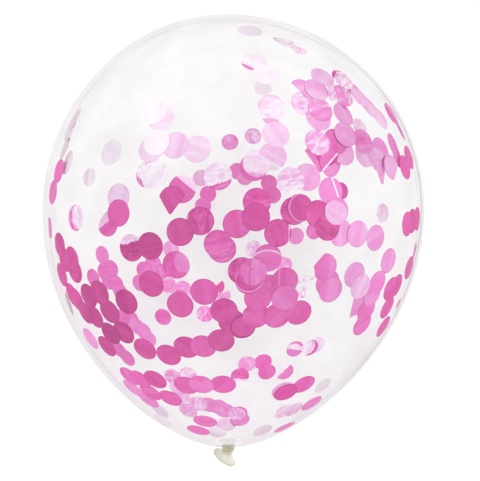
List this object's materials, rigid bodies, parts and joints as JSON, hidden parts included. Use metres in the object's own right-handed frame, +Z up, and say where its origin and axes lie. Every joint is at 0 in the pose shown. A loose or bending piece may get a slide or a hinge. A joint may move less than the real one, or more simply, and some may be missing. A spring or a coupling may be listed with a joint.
{
  "type": "confetti balloon",
  "caption": "Clear round balloon, blown up and tied, with loose shiny pink confetti sealed inside; it lies on its side, crown slightly raised, with its knotted flared tail off the surface.",
  "frame": {"origin": "middle of the small flat on which the balloon lies, straight below its centre of mass", "axes": "+Z up; +Y along the balloon towards its crown, which is raised 14 degrees; the knot and tail point towards -Y; +X to the right of someone who looks along +Y"},
  "size_m": [0.28, 0.3306, 0.2797],
  "materials": {
    "clear_latex": "clear natural latex film, glossy; milky olive grey where it is unstretched, at the knot and tail",
    "pink_foil": "metallised plastic film lacquered rose pink, glossy and slightly creased"
  },
  "bodies": {
    "root": {"balloon": "clear_latex"}
  },
  "joints": []
}
